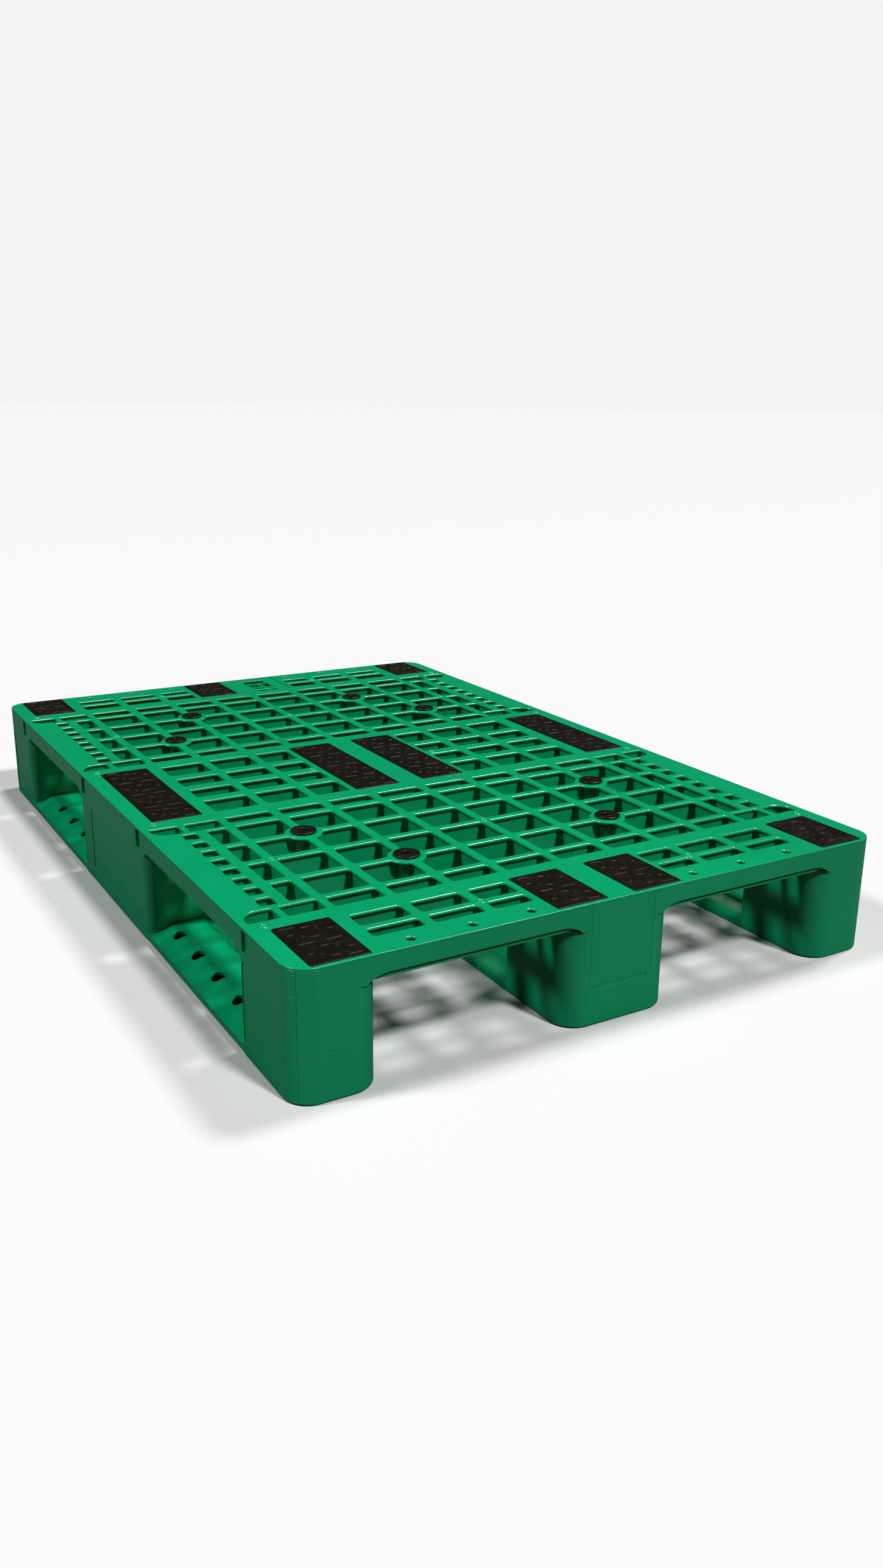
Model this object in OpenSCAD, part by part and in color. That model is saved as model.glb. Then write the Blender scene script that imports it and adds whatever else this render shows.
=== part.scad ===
// Plastic pallet with an open grid deck, three runners, anti-slip pads and rubber grommets.
// X runs across the pallet, Y along it (front short side at -Y), Z up from the floor.

/* [Deck] */
// Length of the pallet, along Y
pallet_l = 1200; // [1190:1:1210]
// Width of the pallet, along X
pallet_w = 800; // [796:1:804]
// Height of the deck's top face above the floor
pallet_h = 150; // [145:1:165]
// Radius of the deck's four corners in plan
corner_r = 30; // [24:1:34]
// Thickness of the deck's top skin
skin_t = 4; // [3.5:0.5:5]
// Thickness of the webs under the grid
web_t = 4; // [3:0.5:5]
// Depth of the webs below the deck's top face
web_depth = 26; // [25:1:28]
// Depth of the skirt along the short sides
skirt_short = 22; // [20:1:24]
// Depth of the skirt along the long sides
skirt_long = 25; // [23:1:27]
// Depth of the skirt where it covers a block
skirt_block = 32; // [30:1:34]

/* [Grid] */
// Pitch of the grid's columns
pitch_x = 73.5; // [73:0.1:74]
// Pitch of the grid's rows
pitch_y = 66.75; // [66:0.05:67]
// Width of a grid opening
cell_w = 60.5; // [56:0.5:61]
// Length of a grid opening
cell_l = 54.5; // [50:0.5:55]

/* [Runners] */
// Width of a side runner
side_runner_w = 100; // [94:1:104]
// Width of the centre runner
centre_runner_w = 150; // [140:1:152]
// Length of an end block
end_block_l = 140; // [136:1:146]
// Length of a middle block
mid_block_l = 296; // [286:1:300]
// Wall thickness of a block
wall_t = 4; // [3:0.5:5]
// Thickness of the skid board's outer edge
board_edge_t = 10; // [8:1:12]
// Height of the skid board's crest above the floor
crest_h = 20; // [18:1:22]

/* [Pads] */
// Width of an anti-slip pad
pad_w = 66.5; // [60:0.5:68]
// Length of a short anti-slip pad
short_pad_l = 98.5; // [90:0.5:100]
// Length of a long anti-slip pad
long_pad_l = 233; // [225:1:236]
// Thickness of an anti-slip pad
pad_t = 3; // [2.6:0.1:3.4]
// Diameter of a grommet's head
grommet_d = 33; // [28:1:36]
// Height of a grommet's head above the deck
grommet_h = 3.5; // [2:0.5:5]

/* [Hidden] */
$fn = 48;
GREEN = "#00a868";
BLACK = "#1f1b17";
TINY = 0.01;
CLEAR = 0.2;

half_l = pallet_l / 2;
half_w = pallet_w / 2;
skin_z = pallet_h - skin_t;
web_z = pallet_h - web_depth;
block_z = pallet_h - skirt_block;
skirt_t = 4;

// Columns of openings, as [first X, last X] on the +X side of the centre line
first_gap = 6;
centre_cell_w = 63.7;
pad_side_gap = 12.8;
columns_x = first_gap + centre_cell_w + pad_side_gap;
function column(k) = [columns_x + k * pitch_x, columns_x + k * pitch_x + cell_w];
CENTRE_COL = [first_gap, first_gap + centre_cell_w];
narrow_w = 24.5;
NARROW_COL = [column(3)[0], column(3)[0] + narrow_w];
SQUARE_COL = [342, 360];
// The column beside the centre pads is narrower, to leave room for them
slim_inset = 11.7;
SLIM_COL = [column(0)[0] + slim_inset, column(0)[1]];

// Rows of openings, as [first Y, last Y] on the +Y side of the centre line
rows_y = 179.25;
function row(j) = [rows_y + j * pitch_y, rows_y + j * pitch_y + cell_l];
BIG_ROWS = [for (j = [0:3]) row(j)];
EDGE_ROWS = [[143, 165], [445, 471]];
PAD_ROWS = [[10, 45], [64, 112], [501.5, 530], [541.5, 560]];
square_pitch = pitch_y / 2;
square_l = 21;
SQUARE_ROWS = [for (j = [0:7]) [rows_y + j * square_pitch, rows_y + j * square_pitch + square_l]];
// Larger openings beside the long edges, at both ends of each run of squares
EDGE_COLS = [[301, 345], [354, 390.4]];
edge_open_y = [143, 171];
edge_open_round = 20;

// Lines of the webs under the skin
WEB_X = [0, 76.1, 149.5, 223, 296.4, 335, 364];
WEB_Y = [0, 54.5, 115, 140, 172, 239.9, 306.6, 373.4, 439.7, 475, 498.5, 535.75, 563];
// Lines of the short webs that tie the long skirts to the grid
TIE_Y = [54.5, 172, 239.9, 306.6, 373.4, 439.7, 535.75];

// Centres of pads and their seats, |X| of the two columns on each side
PAD_X = [52.25, 343.25];
pad_end_gap = 5.5;
short_pad_y = half_l - pad_end_gap - short_pad_l / 2;
seat_depth = 2.2;
seat_gap = 0.3;
pad_z = pallet_h - seat_depth;

// Grommets sit on crossings of the webs
GROMMETS = [[WEB_X[3], WEB_Y[5]], [WEB_X[2], WEB_Y[7]]];
boss_d = 48;
socket_d = 28;
stem_d = 20;
stem_l = 10;
socket_floor = 1;
grommet_hole_d = 11;
grommet_bevel = 1.5;

// Latch windows in the long sides
WINDOW_Y = [126, 482.5];
window_w = 16;
window_top = 4;
window_bottom = 28;

// Latch hooks of the side runners: a flat tongue with a nose that catches in the window
tongue_t = 3;
tongue_w = 12;
tongue_foot = 4;
hook_drop = 2;
nose_h = 9;
nose_slope = 7;
nose_out = 2.4;

// Drain holes along the short edges of the deck
DRAIN_X = [113, 186.5, 260];
drain_y = half_l - 17;
drain_d = 10;

// Blocks and skid boards of the runners
mid_block_y = mid_block_l / 2;
end_block_y = half_l - end_block_l;
inner_r = 32;
outer_r = 14;
ramp_w = 29;
board_z = 1.5;
board_skin = 4;
board_hole_d = 18;
BOARD_HOLES = [183, 250, 317, 384];
ramp_power = 1.6;
mid_ribs_y = 54.5;
end_rib_y = 535.75;

// Shallow panels in the side runners' outer faces, and the bar in the centre runner's end faces
panel_depth = 0.8;
panel_z = [19, 111];
panel_round = 6;
PANELS_Y = [[-566, -473], [-93, 93], [473, 566]];
bar_depth = 0.6;
bar_drop = 103.5;
bar_half_w = 41;
bar_half_h = 2.5;

// Fork openings in the skirt: radius of their upper corners
arch_short_r = 39;
arch_long_r = 12;

// Windows through the floor of the empty pad seat
seat_window_w = 38;
seat_window_inset = 6;
SEAT_WINDOWS_Y = [[-43, -30], [-24, 36]];

// Raised tread of the pads
tread_h = 0.5;
tread_line = 1.8;
ring_d = 27;
ring_wall = 2;
dash_l = 5;
bar_l = 16;
bar_x = 13;

SIDES = [-1, 1];
SHORT_PADS = [
    for (y = SIDES, k = [0, 1], x = SIDES)
        if (!(y == 1 && k == 0 && x == 1)) [x * PAD_X[k], y * short_pad_y]
];
LONG_PADS = [for (k = [0, 1], x = SIDES) [x * PAD_X[k], 0]];
EMPTY_SEAT = [PAD_X[0], short_pad_y];
GROMMET_SPOTS = [for (g = GROMMETS, x = SIDES, y = SIDES) [x * g[0], y * g[1]]];

// Points of one rounded corner, from angle a turning 90 degrees
function corner(x, y, r, a, steps = 6) =
    [for (k = [0:steps]) [x + r * cos(a + 90 * k / steps), y + r * sin(a + 90 * k / steps)]];

// A rectangle with its own radius at each corner: right-top, left-top, left-bottom, right-bottom
module rounded_rect(x0, x1, y0, y1, r, steps = 6) {
    polygon(concat(
        corner(x1 - r[0], y1 - r[0], r[0], 0, steps),
        corner(x0 + r[1], y1 - r[1], r[1], 90, steps),
        corner(x0 + r[2], y0 + r[2], r[2], 180, steps),
        corner(x1 - r[3], y0 + r[3], r[3], 270, steps)
    ));
}

// The deck's outline in plan, moved inwards by inset
module deck_outline(inset = 0) {
    r = corner_r - inset;
    rounded_rect(-half_w + inset, half_w - inset, -half_l + inset, half_l - inset, [r, r, r, r], 10);
}

// Everything drawn on the +X +Y quarter, repeated on the other three
module four_quarters() {
    for (x = [0, 1], y = [0, 1])
        mirror([x, 0, 0])
            mirror([0, y, 0])
                children();
}

// One opening of the grid between a column and a row
module opening(col, rw, r = 3) {
    rounded_rect(col[0], col[1], rw[0], rw[1], [r, r, r, r], 2);
}

// Openings of one quarter of the deck
module quarter_openings() {
    for (rw = BIG_ROWS) {
        opening(CENTRE_COL, rw);
        opening(NARROW_COL, rw);
        for (k = [0:2]) opening(column(k), rw);
    }
    for (rw = EDGE_ROWS) {
        opening(CENTRE_COL, rw);
        for (k = [0:2]) opening(column(k), rw);
    }
    for (rw = PAD_ROWS) {
        opening(SLIM_COL, rw);
        for (k = [1:2]) opening(column(k), rw);
    }
    for (rw = SQUARE_ROWS) opening(SQUARE_COL, rw, 2);
    edge_openings();
}

// The four larger openings beside the long edge, two with one big round corner
module edge_openings() {
    y0 = edge_open_y[0];
    y1 = edge_open_y[1];
    far = EDGE_ROWS[1][1] - (y1 - y0);
    inner = EDGE_COLS[0];
    outer = EDGE_COLS[1];
    big = edge_open_round;
    opening(inner, [y0, y1]);
    opening(inner, [far, far + y1 - y0]);
    rounded_rect(outer[0], outer[1], y0, y1, [big, 3, 3, 3], 4);
    rounded_rect(outer[0], outer[1], far, far + y1 - y0, [3, 3, 3, big], 4);
}

// The deck's top skin: outline, less the openings, plus the discs round the grommets
module deck_skin() {
    translate([0, 0, skin_z])
        linear_extrude(skin_t)
            difference() {
                deck_outline();
                difference() {
                    four_quarters() quarter_openings();
                    for (p = GROMMET_SPOTS) translate(p) circle(d = boss_d);
                }
                four_quarters()
                    for (x = DRAIN_X) translate([x, drain_y]) circle(d = drain_d);
            }
}

// Webs under the skin: the outline, less the rectangles between the web lines
module deck_webs() {
    xs = concat([for (i = [len(WEB_X) - 1:-1:1]) -WEB_X[i]], WEB_X);
    ys = concat([for (i = [len(WEB_Y) - 1:-1:1]) -WEB_Y[i]], WEB_Y);
    translate([0, 0, web_z])
        linear_extrude(skin_z - web_z)
            difference() {
                intersection() {
                    deck_outline(skirt_t - TINY);
                    square([2 * WEB_X[6] + web_t, pallet_l], center = true);
                }
                for (i = [0:len(xs) - 2], j = [0:len(ys) - 2])
                    translate([xs[i] + web_t / 2, ys[j] + web_t / 2])
                        square([xs[i + 1] - xs[i] - web_t, ys[j + 1] - ys[j] - web_t]);
                end_gaps(xs);
            }
}

// The spaces between the last cross web and the short skirts
module end_gaps(xs) {
    y0 = WEB_Y[len(WEB_Y) - 1] + web_t / 2;
    for (y = [0, 1], i = [0:len(xs) - 2])
        mirror([0, y])
            translate([xs[i] + web_t / 2, y0])
                square([xs[i + 1] - xs[i] - web_t, half_l - skirt_t - y0]);
}

// Short webs that tie the skirt of the long sides to the grid
module side_ties() {
    x0 = WEB_X[6];
    four_quarters()
        for (y = TIE_Y)
            translate([x0, y - web_t / 2, web_z])
                cube([half_w - skirt_t - x0 + TINY, web_t, skin_z - web_z]);
}

// The skirt all round, before the fork openings are cut
module skirt_ring() {
    translate([0, 0, block_z])
        linear_extrude(skin_z - block_z)
            difference() {
                deck_outline();
                deck_outline(skirt_t);
            }
}

// One arch: a fork opening's outline, w wide at its foot, with round upper corners, extruded along Y
module arch(w, top, r, depth) {
    rotate([90, 0, 0])
        linear_extrude(depth, center = true) {
            translate([-w / 2 + r, 0]) square([w - 2 * r, top]);
            translate([-w / 2, 0]) square([w, top - r]);
            for (s = SIDES)
                translate([s * (w / 2 - r), top - r])
                    circle(r);
        }
}

// Fork openings through the skirt, two in each side
module skirt_arches() {
    inner_x = centre_runner_w / 2 - inner_r;
    outer_x = half_w - side_runner_w + inner_r;
    gap = end_block_y - mid_block_y;
    for (x = SIDES, y = SIDES)
        translate([x * (inner_x + outer_x) / 2, y * half_l, 0])
            arch(outer_x - inner_x, pallet_h - skirt_short, arch_short_r, 3 * skirt_t);
    for (x = SIDES, y = SIDES)
        translate([x * half_w, y * (mid_block_y + gap / 2), 0])
            rotate(90)
                arch(gap, pallet_h - skirt_long, arch_long_r, 3 * skirt_t);
}

// Windows for the runners' latch hooks, in the long sides
module latch_windows() {
    h = window_bottom - window_top;
    four_quarters()
        for (y = WINDOW_Y)
            translate([half_w - 2 * skirt_t, y - window_w / 2, pallet_h - window_bottom])
                cube([3 * skirt_t, window_w, h]);
}

// Seats for the pads; the empty one has two windows through its floor
module pad_seats() {
    for (x = [-PAD_X[1], -PAD_X[0], PAD_X[0], PAD_X[1]]) {
        for (y = SIDES) translate([x, y * short_pad_y, 0]) seat(short_pad_l);
        translate([x, 0, 0]) seat(long_pad_l);
    }
    for (w = SEAT_WINDOWS_Y)
        translate([EMPTY_SEAT[0] - pad_w / 2 + seat_window_inset, EMPTY_SEAT[1] + w[0], skin_z - 1])
            cube([seat_window_w, w[1] - w[0], skin_t + 2]);
}

// One pad seat: a shallow recess a little larger than its pad
module seat(l) {
    w = pad_w + 2 * seat_gap;
    h = l + 2 * seat_gap;
    translate([0, 0, pad_z])
        linear_extrude(seat_depth + 1)
            rounded_rect(-w / 2, w / 2, -h / 2, h / 2, [3, 3, 3, 3], 2);
}

// The deck moulding
module top_deck() {
    color(GREEN)
        difference() {
            union() {
                deck_skin();
                deck_webs();
                side_ties();
                skirt_ring();
                for (p = GROMMET_SPOTS)
                    translate([p[0], p[1], web_z]) cylinder(d = socket_d, h = skin_z - web_z);
            }
            skirt_arches();
            latch_windows();
            pad_seats();
            for (p = GROMMET_SPOTS)
                translate([p[0], p[1], pallet_h - stem_l - socket_floor])
                    cylinder(d = stem_d + 2 * CLEAR, h = stem_l + 2 * socket_floor);
        }
}

// Outline of one block in plan; r gives its four corner radii, inset thins it
module block_outline(x0, x1, y0, y1, r, inset = 0) {
    q = [for (v = r) max(v - inset, 1)];
    rounded_rect(x0 + inset, x1 - inset, y0 + inset, y1 - inset, q, 8);
}

// A hollow block: full outline up to the skirt, then a neck that fits inside it
module block(x0, x1, y0, y1, r, ribs_y) {
    xm = (x0 + x1) / 2;
    difference() {
        union() {
            linear_extrude(block_z) block_outline(x0, x1, y0, y1, r);
            linear_extrude(web_z)
                intersection() {
                    block_outline(x0, x1, y0, y1, r);
                    deck_outline(skirt_t + CLEAR);
                }
        }
        translate([0, 0, wall_t])
            linear_extrude(pallet_h)
                difference() {
                    intersection() {
                        block_outline(x0, x1, y0, y1, r, wall_t);
                        deck_outline(skirt_t + CLEAR + wall_t);
                    }
                    translate([xm - web_t / 2, y0]) square([web_t, y1 - y0]);
                    for (y = ribs_y) translate([x0, y - web_t / 2]) square([x1 - x0, web_t]);
                }
    }
}

// Height of the skid board's top at distance d from its edge: a hollow ramp up to the crest
function ramp(d) = board_edge_t + (crest_h - board_edge_t) * pow(d / ramp_w, ramp_power);

// Section of a skid board, w wide, centred, with the ramps on both sides
module board_section(w) {
    steps = 6;
    left = [for (k = [0:steps]) let(d = ramp_w * k / steps) [-w / 2 + d, ramp(d)]];
    right = [for (k = [steps:-1:0]) let(d = ramp_w * k / steps) [w / 2 - d, ramp(d)]];
    foot = [[w / 2, board_z], [-w / 2, board_z]];
    difference() {
        polygon(concat(left, right, foot));
        for (m = [0, 1])
            mirror([m, 0])
                polygon([
                    [-w / 2 + wall_t, 0],
                    [-w / 2 + wall_t, board_edge_t - board_skin],
                    [-w / 2 + ramp_w, crest_h - board_skin],
                    [-wall_t, crest_h - board_skin],
                    [-wall_t, 0]
                ]);
    }
}

// A skid board between two blocks, from y0 to y1, with drain holes at hole_xs
module skid_board(w, y0, y1, hole_xs) {
    difference() {
        translate([0, y1, 0])
            rotate([90, 0, 0])
                linear_extrude(y1 - y0) board_section(w);
        for (x = hole_xs, y = BOARD_HOLES)
            translate([x, y, 0])
                cylinder(d = board_hole_d, h = 2 * crest_h);
    }
}

// A latch hook: a tongue behind the skirt with a nose in the latch window, on the +X side
module latch_hook(y) {
    x1 = half_w - skirt_t - CLEAR;
    top = pallet_h - window_top - hook_drop;
    foot = web_z - tongue_foot;
    translate([x1 - tongue_t, y - tongue_w / 2, foot])
        cube([tongue_t, tongue_w, top - foot]);
    translate([x1 - TINY, y + tongue_w / 2, 0])
        rotate([90, 0, 0])
            linear_extrude(tongue_w)
                polygon([[0, top], [0, top - nose_h], [nose_out, top - nose_slope]]);
}

// Shallow panels in the outer faces of a side runner's blocks, on the +X side
module side_panels() {
    h = (panel_z[1] - panel_z[0]) / 2;
    r = panel_round;
    for (s = PANELS_Y)
        translate([half_w - panel_depth, 0, panel_z[0] + h])
            rotate([0, 90, 0])
                linear_extrude(2 * panel_depth)
                    rounded_rect(-h, h, s[0], s[1], [r, r, r, r], 3);
}

// The runner under the +X edge
module side_runner() {
    x0 = half_w - side_runner_w;
    x1 = half_w;
    xm = (x0 + x1) / 2;
    difference() {
        union() {
            block(x0, x1, -mid_block_y, mid_block_y, [outer_r, inner_r, inner_r, outer_r],
                [-mid_ribs_y, 0, mid_ribs_y]);
            for (y = [0, 1])
                mirror([0, y, 0]) {
                    block(x0, x1, end_block_y, half_l, [corner_r, inner_r, inner_r, outer_r], [end_rib_y]);
                    translate([xm, 0, 0])
                        skid_board(side_runner_w, mid_block_y - TINY, end_block_y + TINY,
                            [side_runner_w / 2 - ramp_w]);
                    board_foot(x0, x1);
                    for (w = WINDOW_Y) latch_hook(w);
                }
        }
        side_panels();
    }
}

// Pieces of the board that run on into the rounded corners of the blocks
module board_foot(x0, x1) {
    w = x1 - x0;
    for (s = [[mid_block_y - inner_r, mid_block_y], [end_block_y, end_block_y + inner_r]])
        translate([(x0 + x1) / 2, s[1], 0])
            rotate([90, 0, 0])
                linear_extrude(s[1] - s[0]) board_section(w);
}

// The runner on the centre line
module runner_centre() {
    x1 = centre_runner_w / 2;
    r = [inner_r, inner_r, inner_r, inner_r];
    color(GREEN)
        difference() {
            union() {
                block(-x1, x1, -mid_block_y, mid_block_y, r, [-mid_ribs_y, 0, mid_ribs_y]);
                for (y = [0, 1])
                    mirror([0, y, 0]) {
                        block(-x1, x1, end_block_y, half_l, r, [end_rib_y]);
                        skid_board(centre_runner_w, mid_block_y - TINY, end_block_y + TINY,
                            [ramp_w - x1, x1 - ramp_w]);
                        board_foot(-x1, x1);
                    }
            }
            for (y = [0, 1])
                mirror([0, y, 0])
                    end_bar();
        }
}

// A long shallow bar in the end face of the centre runner
module end_bar() {
    translate([0, half_l - bar_depth, pallet_h - bar_drop])
        rotate([-90, 0, 0])
            linear_extrude(2 * bar_depth)
                rounded_rect(-bar_half_w, bar_half_w, -bar_half_h, bar_half_h, [2, 2, 2, 2], 2);
}

module runner_right() {
    color(GREEN) side_runner();
}

module runner_left() {
    color(GREEN) mirror([1, 0, 0]) side_runner();
}

// Raised tread of a pad: a ring with four short diagonal bars round it
module tread_ring() {
    difference() {
        circle(d = ring_d);
        circle(d = ring_d - 2 * ring_wall);
    }
    for (a = [45:90:315])
        rotate(a)
            translate([ring_d / 2 + ring_wall, -tread_line / 2])
                square([dash_l, tread_line]);
}

// An anti-slip pad, l long, with n rings and pairs of bars between them
module anti_slip_pad(l, n) {
    pitch = l / n;
    color(BLACK)
        translate([0, 0, pad_z]) {
            linear_extrude(pad_t)
                rounded_rect(-pad_w / 2, pad_w / 2, -l / 2, l / 2, [3, 3, 3, 3], 2);
            translate([0, 0, pad_t - TINY])
                linear_extrude(tread_h + TINY) {
                    for (k = [0:n - 1])
                        translate([0, (k + 0.5) * pitch - l / 2]) tread_ring();
                    for (k = [1:n - 1], s = SIDES)
                        translate([s * bar_x - bar_l / 2, k * pitch - l / 2 - tread_line / 2])
                            square([bar_l, tread_line]);
                }
        }
}

module short_pad(i) {
    translate([SHORT_PADS[i - 1][0], SHORT_PADS[i - 1][1], 0]) anti_slip_pad(short_pad_l, 2);
}

module long_pad(i) {
    translate([LONG_PADS[i - 1][0], LONG_PADS[i - 1][1], 0]) anti_slip_pad(long_pad_l, 4);
}

// A rubber grommet: a domed head on the deck and a stem in its socket
module grommet(i) {
    r = grommet_d / 2;
    bore = grommet_hole_d / 2;
    edge = grommet_bevel;
    color(BLACK)
        translate([GROMMET_SPOTS[i - 1][0], GROMMET_SPOTS[i - 1][1], pallet_h])
            rotate_extrude()
                polygon([
                    [bore, -stem_l],
                    [stem_d / 2, -stem_l],
                    [stem_d / 2, 0],
                    [r, 0],
                    [r, grommet_h - edge],
                    [r - edge, grommet_h],
                    [bore + edge, grommet_h],
                    [bore, grommet_h - edge]
                ]);
}

top_deck();
runner_left();
runner_centre();
runner_right();
for (i = [1:7]) short_pad(i);
for (i = [1:4]) long_pad(i);
for (i = [1:8]) grommet(i);
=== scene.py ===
"""The looks of a plastic pallet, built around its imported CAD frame.

A closed loop always has the solid on its left.
"""

import math

import bpy
from mathutils import Matrix, Vector
from mathutils.geometry import tessellate_polygon


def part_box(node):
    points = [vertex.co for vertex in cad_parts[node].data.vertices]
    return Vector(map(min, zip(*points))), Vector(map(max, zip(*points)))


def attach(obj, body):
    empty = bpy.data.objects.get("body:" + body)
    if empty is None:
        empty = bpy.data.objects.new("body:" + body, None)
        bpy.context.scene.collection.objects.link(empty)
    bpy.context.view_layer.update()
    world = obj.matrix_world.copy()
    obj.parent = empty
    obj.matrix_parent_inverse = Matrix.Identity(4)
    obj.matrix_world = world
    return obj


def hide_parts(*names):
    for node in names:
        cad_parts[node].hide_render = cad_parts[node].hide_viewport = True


MM = 0.001
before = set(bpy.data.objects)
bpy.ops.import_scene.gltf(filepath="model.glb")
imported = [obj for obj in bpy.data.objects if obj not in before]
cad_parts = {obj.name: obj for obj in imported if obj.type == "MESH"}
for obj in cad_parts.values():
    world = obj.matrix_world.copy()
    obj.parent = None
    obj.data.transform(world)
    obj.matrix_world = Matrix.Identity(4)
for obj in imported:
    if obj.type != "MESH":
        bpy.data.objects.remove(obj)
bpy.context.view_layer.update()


def box_mm(node):
    """Lowest and highest corner of a CAD node, in millimetres."""
    low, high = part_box(node)
    return Vector(low) / MM, Vector(high) / MM


# ---------------------------------------------------------------- main sizes, from the frame

DECK_LOW, DECK_HIGH = box_mm("top_deck")
HALF_W = DECK_HIGH.x
HALF_L = DECK_HIGH.y
TOP = DECK_HIGH.z
SKIRT_FOOT = DECK_LOW.z
CORNER_R = 30

SKIN = 3.2
SKIRT = 4
SEAM = 3
# The webs reach lower than in the CAD, as the photograph shows no floor past their lower edges
WEB_EXTRA = 3
WEB_FOOT = box_mm("runner_centre")[1].z - WEB_EXTRA
# Lips of the deck's outline, its openings, its drains, and the small recesses in it
RIM_R = 0.6
LIP_R = 2.2
DRAIN_LIP = 2.0
DIMPLE_LIP = 0.4
SEAT_LIP = 0.5
# How far the skin reaches over the webs at an opening
OVERHANG = 4.3
# Lip of an edge that stays sharp, where pieces meet or the edge is hidden
SEAM_LIP = 0.02
HIDDEN_LIP = 0.1

# ---------------------------------------------------------------- the grid, one quarter of it

PITCH_X = 73.5
PITCH_Y = 66.75
CELL_W = 60.5
CELL_L = 54.5
CENTRE_COL = (6, 69.7)
FIRST_COL = 82.5
FIRST_ROW = 179.25


def column(k):
    """X span of grid column k, counted outwards from the centre column."""
    x = FIRST_COL + k * PITCH_X
    return (x, x + CELL_W)


def row(j):
    """Y span of big row j, counted towards the short side."""
    y = FIRST_ROW + j * PITCH_Y
    return (y, y + CELL_L)


NARROW_COL = (column(3)[0], column(3)[0] + 24.5)
SLIM_COL = (column(0)[0] + 11.7, column(0)[1])
SQUARE_COL = (342, 360)
BIG_ROWS = [row(j) for j in range(4)]
EDGE_ROWS = [(143, 165), (445, 471)]
MID_ROWS = [(10, 45), (64, 112)]
END_ROWS = [(501.5, 530), (541.5, 560)]
SQUARE_ROWS = [
    (FIRST_ROW + j * PITCH_Y / 2, FIRST_ROW + j * PITCH_Y / 2 + 21) for j in range(8)
]
SIDE_COLS = [(301, 345), (354, 390.4)]
SIDE_ROWS = [(143, 171), (443, 471)]
BIG_CORNER = 20
CELL_R = 3.4
SMALL_R = 2.4
PAD_CORNER_R = 3

BOSS_R = 24
BOSS_FILLET = 7
BOSS_TUBE_R = 14
BOSS_BORE_R = 9.8
GROMMETS = [(223, 239.9), (149.5, 373.4)]

DRAIN_X = [113, 186.5, 260]
DRAIN_Y = HALF_L - 17
DRAIN_R = 5
DIMPLE_X = [57, 165, 259.5]
DIMPLE_Y = [126.5, 488]
DIMPLE_R = 2.6
DIMPLE_FLOOR_R = 5
MARKS = [(379, 125.5), (379, 484), (0, 308.5), (296, 308.5), (147, 536), (100, 0)]

SIDES = (-1, 1)


# ---------------------------------------------------------------- outlines


def rounded(points, radii, step_deg=12):
    """A closed outline with each corner rounded to its own radius; 0 leaves the corner as it is."""
    out = []
    n = len(points)
    for i, (p, r) in enumerate(zip(points, radii)):
        p = Vector(p)
        a = Vector(points[i - 1]) - p
        b = Vector(points[(i + 1) % n]) - p
        if r <= 0:
            out.append((p.x, p.y))
            continue
        a.normalize()
        b.normalize()
        half = a.angle(b) / 2
        reach = r / math.tan(half)
        centre = p + (a + b).normalized() * (r / math.sin(half))
        start = p + a * reach - centre
        end = p + b * reach - centre
        turn = start.angle_signed(end)
        count = max(1, math.ceil(abs(math.degrees(turn)) / step_deg))
        for k in range(count + 1):
            v = start.copy()
            v.rotate(Matrix.Rotation(-turn * k / count, 2))
            out.append((centre.x + v.x, centre.y + v.y))
    return out


def circle(x, y, r, count=24, hole=True):
    """A round loop; a hole runs clockwise, so that the solid is on its left."""
    turn = -1 if hole else 1
    angles = [turn * 2 * math.pi * k / count for k in range(count)]
    return [(x + r * math.cos(a), y + r * math.sin(a)) for a in angles]


def rectangle(x0, x1, y0, y1, r=CELL_R, hole=True, step_deg=12):
    """A rounded rectangle; r is one radius, or four from the low corner round by the high-Y side."""
    corners = [(x0, y0), (x0, y1), (x1, y1), (x1, y0)]
    radii = list(r) if isinstance(r, (list, tuple)) else [r] * 4
    if not hole:
        corners.reverse()
        radii.reverse()
    return rounded(corners, radii, step_deg)


def cell_by_boss(x0, x1, y0, y1, boss):
    """A grid opening whose corner gives way to the round boss of a grommet."""
    corners = [Vector(c) for c in ((x0, y0), (x0, y1), (x1, y1), (x1, y0))]
    centre = Vector(boss)
    points = []
    radii = []
    for i, c in enumerate(corners):
        if (c - centre).length > BOSS_R:
            points.append(tuple(c))
            radii.append(CELL_R)
            continue
        ends = [circle_hit(c, corners[i - 1], centre), circle_hit(c, corners[(i + 1) % 4], centre)]
        start = ends[0] - centre
        turn = start.angle_signed(ends[1] - centre)
        steps = 8
        for k in range(steps + 1):
            v = start.copy()
            v.rotate(Matrix.Rotation(-turn * k / steps, 2))
            points.append(tuple(centre + v))
            radii.append(0)
    return soften(rounded(points, radii))


def circle_hit(inside, outside, centre):
    """Where the line from a point inside the boss to one outside it crosses the boss's circle."""
    a, b = Vector(inside), Vector(outside)
    for _ in range(40):
        middle = (a + b) / 2
        if (middle - centre).length < BOSS_R:
            a = middle
        else:
            b = middle
    return (a + b) / 2


def soften(points, rounds=2):
    """Blends the inner corners of an outline, by cutting only those that turn the other way."""
    for _ in range(rounds):
        out = []
        n = len(points)
        for i, p in enumerate(points):
            p = Vector(p)
            a = Vector(points[i - 1])
            b = Vector(points[(i + 1) % n])
            bend = (p - a).angle_signed(b - p) if (p - a).length and (b - p).length else 0
            if abs(bend) > math.radians(20):
                reach = min(BOSS_FILLET * 0.5, (p - a).length * 0.45, (b - p).length * 0.45)
                out.append(tuple(p + (a - p).normalized() * reach))
                out.append(tuple(p + (b - p).normalized() * reach))
            else:
                out.append(tuple(p))
        points = out
    return points


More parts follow.
